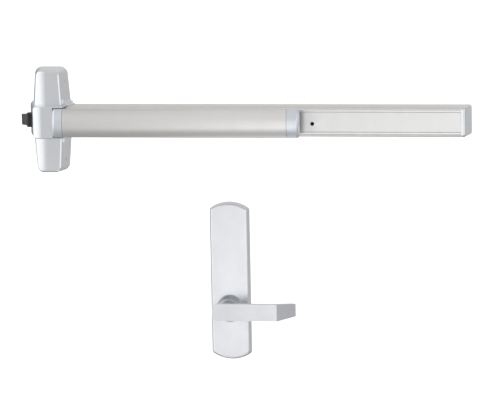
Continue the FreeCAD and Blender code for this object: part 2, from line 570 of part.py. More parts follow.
ec = loft2(end_outline(28.6, 0, 5.0, 0, END_XB), end_outline(28.6, 0, 5.0, 0, END_X), "xz", 0.0, -MC_D - 0.1)
ec = fil(ec, 4.6, lambda e: all(abs(v.Point.y + MC_D + 0.1) < 1e-4 for v in e.Vertexes)
         and not all(abs(v.Point.x - MC_X1) < 1e-4 for v in e.Vertexes))
ec_in = loft2([(MC_X1 - 1, -26.0, 0), (END_XB - 2.6, -26.0, 3.0), (END_XB - 2.6, 26.0, 3.0), (MC_X1 - 1, 26.0, 0)],
              [(MC_X1 - 1, -26.0, 0), (END_X - 2.6, -26.0, 3.0), (END_X - 2.6, 26.0, 3.0), (MC_X1 - 1, 26.0, 0)],
              "xz", 0.5, -MC_D + 2.4)
ec = cut(ec, ec_in)
# plug lips that go inside the mechanism case
for s in (-1, 1):
    z0, z1 = (23.6, 25.9) if s > 0 else (-25.9, -23.6)
    lip = box(800.0, MC_X1 + 4.0, -49.0, -8.0, z0, z1)
    lip = lip.fuse(box(MC_X1 + 0.2, MC_X1 + 4.0, -49.0, -8.0, z0, z1 + 0.3) if s > 0 else
                   box(MC_X1 + 0.2, MC_X1 + 4.0, -49.0, -8.0, z0 - 0.3, z1))
    ec = ec.fuse(lip)
ec = ec.removeSplitter()
ec = cut(ec, cyl("z", 1.9, -27.0, -23.0, 804.0, -20.0))
emit("end_cap", ec)

eb = box(778.0, 809.0, -3.0, 0.0, -25.2, 25.2)
EB_X, EB_Z, EB_R = 790.0, 15.0, 3.4
eb = cut(eb, cyl("y", EB_R, -5.0, 1.0, EB_X, EB_Z), cyl("y", EB_R, -5.0, 1.0, EB_X, -EB_Z))
eb = fuse(eb, box(796.0, 809.0, -40.0, -3.0, -23.4, -20.9), box(796.0, 809.0, -40.0, -3.0, 20.9, 23.4))
eb = cut(eb, cyl("z", 1.7, -24.0, -20.0, 804.0, -20.0))
emit("end_bracket", eb)
es_hole = cyl("z", 1.9, -30.0, -25.0, 804.0, -20.0)
es_sink = cyl("z", 3.3, -30.0, -27.2, 804.0, -20.0)
NODES["mechanism_case"] = cut(NODES["mechanism_case"], es_hole, es_sink)
emit("end_cap_screw", socket_screw("z", 1.65, 3.2, -28.5, -27.2, -19.0, 804.0, -20.0, 1.3))

rs = []
for xx in RAIL_X:
    for s in (-1, 1):
        rs.append(fuse(cyl("y", 2.55, -2.5, 0.0, xx, s * 18.0), cyl("y", 4.6, -4.3, -2.5, xx, s * 18.0)))
emit("rail_rivets", group(rs))

# ---------------------------------------------------------------- outside trim
def arch_wire(inset, y):
    """Plate outline: straight sides, arched top and bottom, softened corners."""
    w = TW / 2.0 - inset
    top = TH / 2.0 - inset
    sag = 13.0 * (w / (TW / 2.0)) ** 2
    zc = top - sag
    k = 3.0                    # corner softening
    R = (w * w + sag * sag) / (2 * sag)
    zctr = top - R
    def az(x):
        return zctr + math.sqrt(R * R - x * x)
    xi = w - k
    es = []
    def P(x, z):
        return V(TX + x, y, TZ + z)
    es.append(Part.LineSegment(P(-w, -(zc - k * 0.9)), P(-w, zc - k * 0.9)).toShape())
    es.append(Part.Arc(P(-w, zc - k * 0.9), P(-w + k * 0.34, zc + 0.32), P(-xi, az(xi))).toShape())
    es.append(Part.Arc(P(-xi, az(xi)), P(0, top), P(xi, az(xi))).toShape())
    es.append(Part.Arc(P(xi, az(xi)), P(w - k * 0.34, zc + 0.32), P(w, zc - k * 0.9)).toShape())
    es.append(Part.LineSegment(P(w, zc - k * 0.9), P(w, -(zc - k * 0.9))).toShape())
    es.append(Part.Arc(P(w, -(zc - k * 0.9)), P(w - k * 0.34, -(zc + 0.32)), P(xi, -az(xi))).toShape())
    es.append(Part.Arc(P(xi, -az(xi)), P(0, -top), P(-xi, -az(xi))).toShape())
    es.append(Part.Arc(P(-xi, -az(xi)), P(-w + k * 0.34, -(zc + 0.32)), P(-w, -(zc - k * 0.9))).toShape())
    return Part.Wire(es)

tp = Part.Face(arch_wire(0.0, 0.0)).extrude(V(0, -3.0, 0))
tp2 = Part.makeLoft([arch_wire(0.0, -3.0), arch_wire(4.2, -10.8), arch_wire(7.2, -T_D)], True, True)
tp = tp.fuse(tp2).removeSplitter()
tpi = Part.makeLoft([arch_wire(4.0, 0.5), arch_wire(4.0, -2.0), arch_wire(9.5, -10.9)], True, True)
tp = cut(tp, tpi)
tp = cut(tp, cyl("y", 13.0, -20.0, -5.0, TX, HZ))
emit("trim_plate", tp)

TP_X, TP_Z = 24.5, 95.0
bk = Part.Face(arch_wire(4.6, 0.0)).extrude(V(0, -1.5, 0))
bk = cut(bk, box(TX - 4.0, TX + 4.0, -3.0, 1.0, -236.0, -204.0))
posts = []
for sx in (-1, 1):
    for sz in (-1, 1):
        x, z = TX + sx * TP_X, TZ + sz * TP_Z
        bk = cut(bk, cyl("y", 5.1, -3.0, 1.0, x, z))
        p = cut(cyl("y", 5.0, -10.85, 0.0, x, z), cyl("y", 2.5, -9.0, 1.0, x, z))
        posts.append(p)
emit("trim_mounting_posts", group(posts))
bh = []
for z in (TZ - 130.0, TZ + 130.0):
    bk = cut(bk, cyl("y", 1.8, -3.0, 1.0, TX, z))
    bh.append(fuse(cyl("y", 1.75, -6.0, -1.5, TX, z), cut(cyl("y", 3.2, -1.5, -0.2, TX, z),
                                                        box(TX - 3, TX + 3, -0.8, 0.2, z - 0.4, z + 0.4))))
    bk = cut(bk, cyl("y", 3.25, -1.5, 1.0, TX, z))
bosses = [cut(cyl("y", 4.2, -10.88, -1.55, TX, z), cyl("y", 1.76, -7.0, 0.0, TX, z)) for z in (TZ - 130.0, TZ + 130.0)]
emit("back_plate_screws", group(bh))
emit("back_plate_bosses", group(bosses))
emit("trim_back_plate", bk)

# fixed collar, bushing and spring around the lever shank
col = cyl("y", 26.4, -24.0, -T_D, TX, HZ)
col = fil(col, 2.4, lambda e: all(abs(v.Point.y + 24.0) < 1e-4 for v in e.Vertexes))
col = cut(col, cyl("y", 13.0, -25.0, -13.0, TX, HZ), cyl("y", 21.5, -21.2, -13.9, TX, HZ))
emit("lever_collar", col)
bu = fuse(cyl("y", 12.95, -23.6, -9.5, TX, HZ), cyl("y", 15.2, -10.8, -9.5, TX, HZ))
bu = cut(bu, cyl("y", 10.06, -30.0, 0.0, TX, HZ))
emit("lever_bushing", bu)
emit("lever_return_spring", spring("y", 17.4, 0.95, -21.0, -14.1, TX, HZ, 2.5))

# lever: shank, neck, flat bar and return leg
LB = 16.3               # half height of the bar
bar = rprism([(-24.5, -LB, 8.0), (102.0, -LB, 0.0), (102.0, LB, 0.0), (-24.5, LB, 9.0)], "xz", -66.0, -55.0)
leg = Part.makeLoft([
    Part.makePolygon([V(91.5, -55.5, -LB), V(102.0, -66.0, -LB), V(102.0, -66.0, LB), V(91.5, -55.5, LB), V(91.5, -55.5, -LB)]),
    Part.makePolygon([V(121.0, -18.0, -LB + 3.2), V(130.5, -20.5, -LB + 3.2), V(130.5, -20.5, LB - 4.6), V(121.0, -18.0, LB - 4.6), V(121.0, -18.0, -LB + 3.2)]),
], True, True)
lev = bar.fuse(leg)
lev = lev.removeSplitter()
lev.translate(V(TX, 0, HZ))
neck = Part.makeCone(14.2, 15.8, 32.0, V(TX, -24.5, HZ), V(0, -1, 0))
neck2 = loft2([(-14.0, -13.0, 5.0), (14.0, -13.0, 5.0), (14.0, 13.0, 5.0), (-14.0, 13.0, 5.0)],
              [(-23.0, -15.6, 6.0), (26.0, -15.6, 6.0), (26.0, 15.6, 6.0), (-23.0, 15.6, 6.0)], "xz", -36.0, -56.0)
neck2.translate(V(TX, 0, HZ))
shank = cyl("y", 10.0, -26.0, -9.6, TX, HZ)
lev = fuse(lev, neck, neck2, shank)
# square hole for the spindle and a set screw hole below the neck
lev = cut(lev, box(TX - 4.05, TX + 4.05, -30.0, -8.0, HZ - 4.05, HZ + 4.05))
lev = cut(lev, cyl("z", 2.0, HZ - 17.0, HZ - 4.0, TX, -29.0))
emit("lever", lev)
emit("lever_set_screw", socket_screw("z", 1.95, 1.95, HZ - 13.2, HZ - 11.0, HZ - 4.2, TX, -29.0, 1.1))

sp = box(TX - 4.0, TX + 4.0, -29.5, -5.4, HZ - 4.0, HZ + 4.0)
emit("spindle", sp)
cam = cyl("y", 9.0, -9.2, -6.9, TX, HZ)
cx, cz = -LIFT_R * math.cos(math.radians(30)), -LIFT_R * math.sin(math.radians(30))
cam = fuse(cam, cyl("y", 4.6, -9.2, -6.9, TX + cx, HZ + cz))
cam = cut(cam, box(TX - 4.02, TX + 4.02, -10.0, -6.0, HZ - 4.02, HZ + 4.02))
cam = fuse(cam, cyl("y", 2.0, -6.9, -3.4, TX + cx, HZ + cz))
emit("lift_cam", cam)
clip = cut(cyl("y", 6.3, -6.88, -6.0, TX, HZ), box(TX - 4.05, TX + 4.05, -8.0, -5.0, HZ - 4.05, HZ + 4.05))
emit("spindle_clip", clip)

# lift slide, with a slot along X for the cam pin
sl = box(TX - 18.4, TX - 6.8, -6.4, -3.9, HZ - 12.0, -242.0)
sl = fuse(sl, box(TX - 18.4, TX + 7.0, -6.4, -3.9, -242.0, -220.0))
slot = box(TX - LIFT_R, TX + cx, -8.0, -2.0, HZ + cz - 2.3, HZ + cz + 2.3)
slot = slot.fuse(cyl("y", 2.3, -8.0, -2.0, TX - LIFT_R, HZ + cz)).fuse(cyl("y", 2.3, -8.0, -2.0, TX + cx, HZ + cz))
sl = cut(sl, slot)
emit("lift_slide", sl)
fg = fuse(box(TX - 3.0, TX + 3.0, -3.9, 38.0, -235.0, -227.0), box(TX - 6.0, TX + 6.0, -3.9, -2.2, -238.0, -224.0))
emit("lift_finger", fg)
gd = []
for z in (-262.0, -318.0):
    g = fuse(box(TX - 21.0, TX - 3.9, -3.2, -1.5, z - 6, z + 6),
             box(TX - 21.0, TX - 18.8, -8.0, -1.5, z - 6, z + 6),
             box(TX - 6.4, TX - 3.9, -8.0, -1.5, z - 6, z + 6),
             box(TX - 21.0, TX - 3.9, -8.0, -6.9, z - 6, z + 6))
    gd.append(g)
emit("lift_slide_guides", group(gd))

# ---------------------------------------------------------------- write
for name, shape in NODES.items():
    ok = shape.isValid()
    n = len(shape.Solids)
    if not ok or n == 0:
        print("CHECK", name, "valid", ok, "solids", n)
    if n == 1 and shape.ShapeType != "Solid":
        shape = shape.Solids[0]
    shape.exportStep("parts/%s.step" % name)
print(len(NODES), "nodes")
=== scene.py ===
import json
import math
import bpy
import bmesh
from mathutils import Vector, Matrix


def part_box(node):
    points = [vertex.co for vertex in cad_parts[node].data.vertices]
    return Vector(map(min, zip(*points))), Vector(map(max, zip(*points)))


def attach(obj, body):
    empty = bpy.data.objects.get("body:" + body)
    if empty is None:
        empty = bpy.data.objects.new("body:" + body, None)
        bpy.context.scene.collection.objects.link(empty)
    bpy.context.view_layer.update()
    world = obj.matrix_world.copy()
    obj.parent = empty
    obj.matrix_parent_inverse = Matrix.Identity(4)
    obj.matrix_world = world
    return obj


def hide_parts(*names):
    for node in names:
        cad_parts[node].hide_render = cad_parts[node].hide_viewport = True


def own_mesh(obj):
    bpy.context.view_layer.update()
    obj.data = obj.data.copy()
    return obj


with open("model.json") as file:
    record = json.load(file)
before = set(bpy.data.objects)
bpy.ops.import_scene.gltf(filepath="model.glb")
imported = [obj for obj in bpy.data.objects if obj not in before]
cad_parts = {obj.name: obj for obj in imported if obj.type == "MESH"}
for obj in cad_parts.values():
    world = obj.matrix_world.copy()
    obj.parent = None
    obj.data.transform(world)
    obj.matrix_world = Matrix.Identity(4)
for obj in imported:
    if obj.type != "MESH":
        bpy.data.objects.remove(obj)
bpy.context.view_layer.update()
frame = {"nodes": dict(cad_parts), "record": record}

MM = 0.001
scene = bpy.context.scene
NODES = frame["nodes"]
BODY = {n: b for b, ns in frame["record"]["behaviour"]["bodies"].items() for n in ns}
SLOT = {s["node"]: s["material_slot"] for s in frame["record"]["subparts"]}


# ------------------------------------------------------------------ materials
class Tree:
    """Small helper for building a node tree."""

    def __init__(self, name):
        self.mat = bpy.data.materials.new(name)
        self.mat.use_nodes = True
        self.nt = self.mat.node_tree
        self.nt.nodes.clear()
        self.out = self.nt.nodes.new("ShaderNodeOutputMaterial")
        self.bsdf = self.nt.nodes.new("ShaderNodeBsdfPrincipled")
        self.nt.links.new(self.bsdf.outputs[0], self.out.inputs[0])
        self.tc = self.nt.nodes.new("ShaderNodeTexCoord")

    def new(self, kind, **kw):
        n = self.nt.nodes.new(kind)
        for k, v in kw.items():
            setattr(n, k, v)
        return n

    def link(self, a, b):
        self.nt.links.new(a, b)

    def scaled(self, sx, sy, sz, rot=(0, 0, 0)):
        m = self.new("ShaderNodeMapping")
        m.inputs["Scale"].default_value = (sx, sy, sz)
        m.inputs["Rotation"].default_value = rot
        self.link(self.tc.outputs["Object"], m.inputs["Vector"])
        return m.outputs[0]

    def noise(self, vec, scale=1.0, detail=3.0, rough=0.5, distortion=0.0):
        n = self.new("ShaderNodeTexNoise")
        n.inputs["Scale"].default_value = scale
        n.inputs["Detail"].default_value = detail
        n.inputs["Roughness"].default_value = rough
        n.inputs["Distortion"].default_value = distortion
        self.link(vec, n.inputs["Vector"])
        return n.outputs["Fac"]

    def voronoi(self, vec, scale=1.0):
        n = self.new("ShaderNodeTexVoronoi")
        n.inputs["Scale"].default_value = scale
        self.link(vec, n.inputs["Vector"])
        return n.outputs["Distance"]

    def remap(self, val, a, b, c, d):
        n = self.new("ShaderNodeMapRange")
        n.inputs["From Min"].default_value = a
        n.inputs["From Max"].default_value = b
        n.inputs["To Min"].default_value = c
        n.inputs["To Max"].default_value = d
        self.link(val, n.inputs["Value"])
        return n.outputs[0]

    def mix(self, fac, a, b):
        n = self.new("ShaderNodeMix", data_type="RGBA")
        self.link(fac, n.inputs["Factor"])
        for sock, v in (("A", a), ("B", b)):
            s = [i for i in n.inputs if i.name == sock and i.type == "RGBA"][0]
            if isinstance(v, tuple):
                s.default_value = (*v, 1.0)
            else:
                self.link(v, s)
        return [o for o in n.outputs if o.type == "RGBA"][0]

    def math(self, op, a, b):
        n = self.new("ShaderNodeMath", operation=op)
        for i, v in enumerate((a, b)):
            if isinstance(v, (int, float)):
                n.inputs[i].default_value = v
            else:
                self.link(v, n.inputs[i])
        return n.outputs[0]

    def bump(self, height, strength, distance, normal=None):
        n = self.new("ShaderNodeBump")
        n.inputs["Strength"].default_value = strength
        n.inputs["Distance"].default_value = distance
        self.link(height, n.inputs["Height"])
        if normal is not None:
            self.link(normal, n.inputs["Normal"])
        return n.outputs[0]

    def edge(self, lo=0.52, hi=0.62):
        """0 on flats, 1 on worn outer edges."""
        g = self.new("ShaderNodeNewGeometry")
        return self.remap(g.outputs["Pointiness"], lo, hi, 0.0, 1.0)


def metal(name, base, dark, rough, spread=0.05, grain=None, grain_bump=0.10, cast=False, wear=True,
          coat=0.0, aniso=0.0, metallic=1.0, painted_shade_x=None):
    t = Tree(name)
    b = t.bsdf
    b.inputs["Metallic"].default_value = metallic
    b.inputs["IOR"].default_value = 1.5
    if coat:
        b.inputs["Coat Weight"].default_value = coat
        b.inputs["Coat Roughness"].default_value = 0.25
    if aniso:
        b.inputs["Anisotropic"].default_value = aniso
    # broad handling marks and cloudiness
    cloud = t.noise(t.scaled(1, 1, 1), 38.0, 4.0, 0.55, 0.4)
    fine = t.noise(t.scaled(*(grain or (1.0, 1.0, 1.0))), 1.0 if grain else 2600.0, 2.0, 0.6)
    col = t.mix(t.remap(cloud, 0.35, 0.70, 0.0, 1.0), base, dark)
    col = t.mix(t.remap(fine, 0.35, 0.65, 0.0, 0.30 if grain else 0.15), col, dark)
    if painted_shade_x:
        # painted shade: the colour darkens along the object's X axis, to a given fraction of the base tone at the
        # low-X end
        sep = t.new("ShaderNodeSeparateXYZ")
        t.link(t.tc.outputs["Object"], sep.inputs[0])
        col = t.mix(t.remap(sep.outputs["X"], painted_shade_x[0], painted_shade_x[1], 1.0, 0.0), col, tuple(c * painted_shade_x[2] for c in base))
    if wear:
        col = t.mix(t.remap(t.edge(), 0.0, 1.0, 0.0, 0.55), col, tuple(min(1.0, c * 1.08) for c in base))
    t.link(col, b.inputs["Base Color"])
    r = t.math("ADD", t.remap(cloud, 0.30, 0.72, rough - spread, rough + spread),
               t.remap(fine, 0.3, 0.7, -0.5 * spread, 0.5 * spread))
    if wear:
        r = t.math("SUBTRACT", r, t.remap(t.edge(), 0.0, 1.0, 0.0, 0.06))
    t.link(r, b.inputs["Roughness"])
    n = t.bump(fine, grain_bump, 0.00004)
    if cast:
        # the soft waviness of a polished casting under its plating
        wav = t.noise(t.scaled(1, 1, 1), 70.0, 1.0, 0.4)
        n = t.bump(wav, 0.05, 0.0003, n)
    t.link(n, b.inputs["Normal"])
    return t.mat


def plastic(name, base, dark, rough, grit=1400.0, bump=0.15, sub=0.0):
    t = Tree(name)
    b = t.bsdf
    b.inputs["IOR"].default_value = 1.49
    if sub:
        b.inputs["Subsurface Weight"].default_value = sub
        b.inputs["Subsurface Radius"].default_value = (0.002, 0.002, 0.0015)
    cloud = t.noise(t.scaled(1, 1, 1), 60.0, 3.0, 0.5)
    fine = t.noise(t.scaled(1, 1, 1), grit, 2.0, 0.6)
    t.link(t.mix(t.remap(cloud, 0.3, 0.7, 0.0, 1.0), base, dark), b.inputs["Base Color"])
    t.link(t.math("ADD", t.remap(cloud, 0.3, 0.7, rough - 0.05, rough + 0.05),
                  t.remap(fine, 0.3, 0.7, -0.04, 0.04)), b.inputs["Roughness"])
    t.link(t.bump(fine, bump, 0.00006), b.inputs["Normal"])
    return t.mat


M = {
    "satin_chrome": metal("satin_chrome", (0.800, 0.818, 0.845), (0.780, 0.799, 0.827), 0.25, 0.018, cast=True,
                          grain=(420.0, 420.0, 420.0), grain_bump=0.02, wear=False),
    "brushed_aluminium": metal("brushed_aluminium", (0.820, 0.806, 0.790), (0.765, 0.752, 0.738), 0.36, 0.04,
                               grain=(9.0, 2600.0, 2600.0), grain_bump=0.16, aniso=0.35),
    "plain_aluminium": metal("plain_aluminium", (0.66, 0.66, 0.66), (0.58, 0.58, 0.59), 0.42, 0.06,
                             grain=(12.0, 900.0, 900.0), grain_bump=0.2),
    "latch_steel": metal("latch_steel", (0.115, 0.116, 0.120), (0.070, 0.070, 0.074), 0.46, 0.07, cast=True,
                         grain_bump=0.35),
    "zinc_plated_steel": metal("zinc_plated_steel", (0.60, 0.61, 0.62), (0.50, 0.52, 0.56), 0.38, 0.08,
                               grain=(500.0, 500.0, 60.0), grain_bump=0.14),
    "bright_steel": metal("bright_steel", (0.72, 0.72, 0.73), (0.62, 0.62, 0.64), 0.26, 0.06,
                          grain=(900.0, 900.0, 900.0), grain_bump=0.10),
    "spring_steel": metal("spring_steel", (0.46, 0.46, 0.47), (0.33, 0.33, 0.35), 0.34, 0.07,
                          grain=(700.0, 700.0, 700.0), grain_bump=0.12),
    "nylon": plastic("nylon", (0.83, 0.83, 0.79), (0.74, 0.74, 0.70), 0.45, sub=0.15),
    "damper_black": plastic("damper_black", (0.045, 0.045, 0.05), (0.03, 0.03, 0.033), 0.5),
}
# the trim was finished apart from the bar: a touch lighter, with a vertical polish
M["trim_satin"] = metal("trim_satin", (0.830, 0.842, 0.868), (0.790, 0.803, 0.832), 0.34, 0.035, cast=True,
                        grain=(2400.0, 2400.0, 26.0), grain_bump=0.07)
# the pad's material carries painted shade: its colour darkens from X=0.36 m towards the pad's left end, to 85% of its
# tone
M["brushed_aluminium_pad"] = metal("brushed_aluminium_pad", (0.822, 0.806, 0.788), (0.790, 0.775, 0.758), 0.36, 0.02,
                                   grain=(9.0, 2600.0, 2600.0), grain_bump=0.10, aniso=0.35, painted_shade_x=(0.04, 0.36, 0.85))
M["brushed_aluminium_plate"] = metal("brushed_aluminium_plate", (0.752, 0.748, 0.741), (0.735, 0.731, 0.724), 0.38, 0.015,
                                     grain=(9.0, 2600.0, 2600.0), grain_bump=0.14, aniso=0.35)
M["satin_chrome_cap"] = metal("satin_chrome_cap", (0.770, 0.800, 0.850), (0.735, 0.765, 0.815), 0.33, 0.03, cast=True,
                              grain_bump=0.05)
M["lever_satin"] = metal("lever_satin", (0.722, 0.736, 0.764), (0.684, 0.698, 0.727), 0.33, 0.03,
                        grain=(9.0, 900.0, 900.0), grain_bump=0.05, wear=False)
# painted shade: the rose is coloured much darker than the trim, standing in for the shadow between the lever and the
# plate
M["collar_satin_painted_shade"] = metal("collar_satin_painted_shade", (0.43, 0.45, 0.475), (0.38, 0.40, 0.425), 0.30, 0.03, grain_bump=0.05)
M["latch_steel_dark"] = metal("latch_steel_dark", (0.050, 0.050, 0.053), (0.030, 0.030, 0.033), 0.48, 0.06, cast=True,
                              grain_bump=0.3)
M["black_oxide"] = metal("black_oxide", (0.030, 0.030, 0.034), (0.018, 0.018, 0.020), 0.50, 0.06,
                         grain=(800.0, 800.0, 800.0), grain_bump=0.12)

for n, o in NODES.items():
    mat = M[SLOT[n]]
    if n in ("trim_plate", "lever", "lever_collar"):
        mat = M["trim_satin"]
    if n == "dogging_screw":
        mat = M["black_oxide"]
    o.data.materials.clear()
    o.data.materials.append(mat)

# ------------------------------------------------------------------ mesh code
def rounded(pts, seg=8):
    """Corners (u, v, r) to a closed list of points, each corner rounded to r."""
    out = []
    n = len(pts)
    for i in range(n):
        u, v, r = pts[i]
        p = Vector((u, v))
        if r <= 0:
            out.append(p)
            continue
        a = (Vector(pts[i - 1][:2]) - p).normalized()
        b = (Vector(pts[(i + 1) % n][:2]) - p).normalized()
        half = a.angle(b) / 2
        t = r / math.tan(half)
        c = p + (a + b).normalized() * (r / math.sin(half))
        s, e = p + a * t - c, p + b * t - c
        full = s.angle(e)
        for k in range(seg + 1):
            f = k / seg
            w0 = math.sin((1 - f) * full) / math.sin(full)
            w1 = math.sin(f * full) / math.sin(full)
            out.append(c + s * w0 + e * w1)
    return out


def loft(bm, loops, ends=(True, True)):
    rows = [[bm.verts.new(Vector(p) * MM) for p in lp] for lp in loops]
    for a, b in zip(rows, rows[1:]):
        for i in range(len(a)):
            j = (i + 1) % len(a)
            bm.faces.new((a[i], a[j], b[j], b[i]))
    caps = []
    if ends[0]:
        caps.append(bm.faces.new(list(reversed(rows[0]))))
    if ends[1]:
        caps.append(bm.faces.new(rows[-1]))
    return caps


def tidy(bm, concave_caps=()):
    bmesh.ops.recalc_face_normals(bm, faces=bm.faces)
    if concave_caps:
        bmesh.ops.triangulate(bm, faces=[f for f in concave_caps if f.is_valid])


def link_mesh(name, bm):
    me = bpy.data.meshes.new(name)
    bm.to_mesh(me)
    bm.free()
    o = bpy.data.objects.new(name, me)
    scene.collection.objects.link(o)
    return o


def cyl_cut(bm, axis, r, a, b, p, q, seg=48):
    """Adds a closed cylinder, millimetres, along an axis."""
    lo, hi = [], []
    for k in range(seg):
        t = 2 * math.pi * k / seg
        c, s = r * math.cos(t), r * math.sin(t)
        for lst, w in ((lo, a), (hi, b)):
            lst.append({"x": (w, p + c, q + s), "y": (p + c, w, q + s), "z": (p + c, q + s, w)}[axis])
    loft(bm, [lo, hi])


def box_cut(bm, x0, x1, y0, y1, z0, z1):
    loft(bm, [[(x0, y0, z0), (x0, y1, z0), (x0, y1, z1), (x0, y0, z1)],
              [(x1, y0, z0), (x1, y1, z0), (x1, y1, z1), (x1, y0, z1)]])


def bake(o):
    """The modifiers' result becomes the mesh."""
    bpy.context.view_layer.update()
    dg = bpy.context.evaluated_depsgraph_get()
    me = bpy.data.meshes.new_from_object(o.evaluated_get(dg))
    o.modifiers.clear()
    o.data = me


def cut_with(o, bm):
    bmesh.ops.recalc_face_normals(bm, faces=bm.faces)
    c = link_mesh(o.name + "_cut", bm)
    m = o.modifiers.new("cut", "BOOLEAN")
    m.operation = "DIFFERENCE"
    m.solver = "EXACT"
    m.object = c
    bake(o)
    bpy.data.objects.remove(c)


def finish_piece(o, mat, body, nodes, bevel=0.0, seg=3, deg=28.0, sharp=32.0):
    if bevel:
        m = o.modifiers.new("edge", "BEVEL")
        m.width = bevel * MM
        m.segments = seg
        m.limit_method = "ANGLE"
        m.angle_limit = math.radians(deg)
        m.use_clamp_overlap = True
        m.miter_outer = "MITER_ARC"
        bake(o)
    bm2 = bmesh.new()
    bm2.from_mesh(o.data)
    bmesh.ops.remove_doubles(bm2, verts=bm2.verts, dist=1e-6)
    bmesh.ops.dissolve_degenerate(bm2, dist=1e-7, edges=bm2.edges)
    for f in bm2.faces:
        f.smooth = True
        f.material_index = 0
    for e in bm2.edges:
        e.smooth = not (len(e.link_faces) != 2 or e.calc_face_angle(0.0) > math.radians(sharp))
    bm2.to_mesh(o.data)
    bm2.free()
    o.data.materials.clear()
    o.data.materials.append(mat)
    m = o.modifiers.new("normals", "WEIGHTED_NORMAL")
    m.keep_sharp = True
    m.weight = 60
    bake(o)
    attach(o, body)
    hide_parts(*nodes)
    return o


def from_cad(node, name, mat, bevel, seg=3, deg=28.0, sharp=32.0, flat=0.6):
    """A softened copy of a CAD node: coplanar triangles joined, then every hard edge rounded."""
    me = NODES[node].data.copy()
    me.name = name
    bm1 = bmesh.new()
    bm1.from_mesh(me)
    bmesh.ops.remove_doubles(bm1, verts=bm1.verts, dist=2e-6)
    bmesh.ops.dissolve_limit(bm1, angle_limit=math.radians(flat), verts=bm1.verts, edges=bm1.edges)
    o = link_mesh(name, bm1)
    bpy.data.meshes.remove(me)
    return finish_piece(o, mat, BODY[node], [node], bevel, seg, deg, sharp)


# mechanism case: the long extrusion, its front lips and rounded corners
def mechanism_case():
    h, d, w, lip = 28.5, 57.0, 2.5, 19.5
    half = [(-d, lip, 0.5), (-d, h, 7.0), (0.0, h, 0.5)]
    inner = [(-w, h - w, 1.0), (-d + w, h - w, 4.5), (-d + w, lip, 0.3)]
    pts = [(y, -z, r) for y, z, r in half] + [(y, z, r) for y, z, r in reversed(half)]
    pts += [(y, z, r) for y, z, r in reversed(inner)] + [(y, -z, r) for y, z, r in inner]
    prof = rounded(pts, 10)
    x0, x1 = 36.0, 811.0
    bm = bmesh.new()
    caps = loft(bm, [[(x, p[0], p[1]) for p in prof] for x in (x0, 160.0, 320.0, 480.0, 640.0, x1)])
    tidy(bm, caps)
    o = link_mesh("mechanism_case_extrusion", bm)
    c = bmesh.new()
    box_cut(c, 776.0, 815.0, -w - 0.1, 1.0, -h + w + 0.4, h - w - 0.4)
    for x in (60.0, 560.0):
        for s in (-1, 1):
            cyl_cut(c, "y", 2.6, -4.0, 1.0, x, s * 18.0)
    cyl_cut(c, "z", 1.9, -30.0, -25.0, 804.0, -20.0)
    cyl_cut(c, "z", 3.3, -30.0, -27.2, 804.0, -20.0)
    cut_with(o, c)
    return finish_piece(o, M["brushed_aluminium"], "frame", ["mechanism_case"], 0.35, 2, 40.0)


def cover_plate():
    lo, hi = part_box("cover_plate")
    x0, x1 = lo.x / MM, hi.x / MM
    y0 = lo.y / MM
    z = 19.5 - 0.7
    prof = rounded([(y0, -z, 0.45), (y0, z, 0.45), (-54.4, z, 0), (-54.4, 22.5, 0.3), (-52.7, 22.5, 0.3),
                    (-52.7, -22.5, 0.3), (-54.4, -22.5, 0.3), (-54.4, -z, 0)], 4)
    bm = bmesh.new()
    caps = loft(bm, [[(x, p[0], p[1]) for p in prof] for x in (x0, 560.0, 640.0, 730.0, x1)])
    tidy(bm, caps)
    o = link_mesh("channel_cover_plate", bm)
    c = bmesh.new()
    cyl_cut(c, "y", 3.8, -60.0, -50.0, 525.0, -3.5, 64)
    cut_with(o, c)
    return finish_piece(o, M["brushed_aluminium_plate"], "frame", ["cover_plate"], 0.3, 2, 40.0)


def pad_section(inset, back, n_arc=10, n_crown=32):
    """The pad's outer line from its lower rear edge round the front to its upper one: (y, z)."""
    zc, yc = 27.4 - inset, -97.0 + inset
    r = 4.5 - min(inset, 3.0)
    ye, ze = yc + 5.6, zc - r * 0.72
    R = (ze * ze + 5.6 * 5.6) / (2 * 5.6)
    half = []
    tmax = math.asin(ze / R)
    for k in range(n_crown // 2 + 1):
        t = tmax * k / (n_crown // 2)
        half.append((yc + R - R * math.cos(t), R * math.sin(t)))
    # the rounded edge turns smoothly from the crown to the skirt
    p0 = Vector((ye, ze))
    p2 = Vector((ye + r * 0.95, zc))
    d0 = Vector((math.sin(tmax), math.cos(tmax)))
    p1 = Vector((ye + (zc - ze) / d0.y * d0.x, zc))
    p1 = Vector((min(p1.x, ye + r * 0.6), zc))
    for k in range(1, n_arc + 1):
        t = k / n_arc
        q = p0 * (1 - t) ** 2 + p1 * 2 * t * (1 - t) + p2 * t * t
        half.append((q.x, q.y))
    half.append((back, zc))
    return [(y, -z) for y, z in reversed(half[1:])] + half


def push_pad():
    outer = pad_section(0.0, -77.0)
    inner = pad_section(2.0, -77.0)
    prof = outer + list(reversed(inner))
    bm = bmesh.new()
    caps = loft(bm, [[(x, p[0], p[1]) for p in prof] for x in (43.05, 43.35, 150.0, 262.0, 370.0, 481.65, 481.95)])
    tidy(bm, caps)
    o = link_mesh("touch_bar", bm)
    return finish_piece(o, M["brushed_aluminium_pad"], "pad", ["push_pad"], 0.3, 2, 50.0)


def pad_cap(tag, x_in, x_out):
    sg = 1.0 if x_out > x_in else -1.0
    rr = 4.6
    loops = []
    for x, inset in ((x_in + sg * 0.15, 0.35), (x_in + sg * 0.5, -0.15)):
        loops.append((x, inset))
    loops.append(((x_in + x_out) / 2, -0.15))
    for k in range(9):
        t = math.radians(90.0 * k / 8)
        loops.append((x_out - sg * rr * (1 - math.sin(t)), -0.15 + rr * (1 - math.cos(t)) * 0.9))
    bm = bmesh.new()
    loft(bm, [[(x, p[0], p[1]) for p in pad_section(i, -77.0)] for x, i in loops])
    tidy(bm)
    o = link_mesh("touch_bar_end_" + tag, bm)
    return finish_piece(o, M["satin_chrome_cap"], "pad", ["pad_end_cap_" + tag], 0.0, 2, 50.0, 40.0)


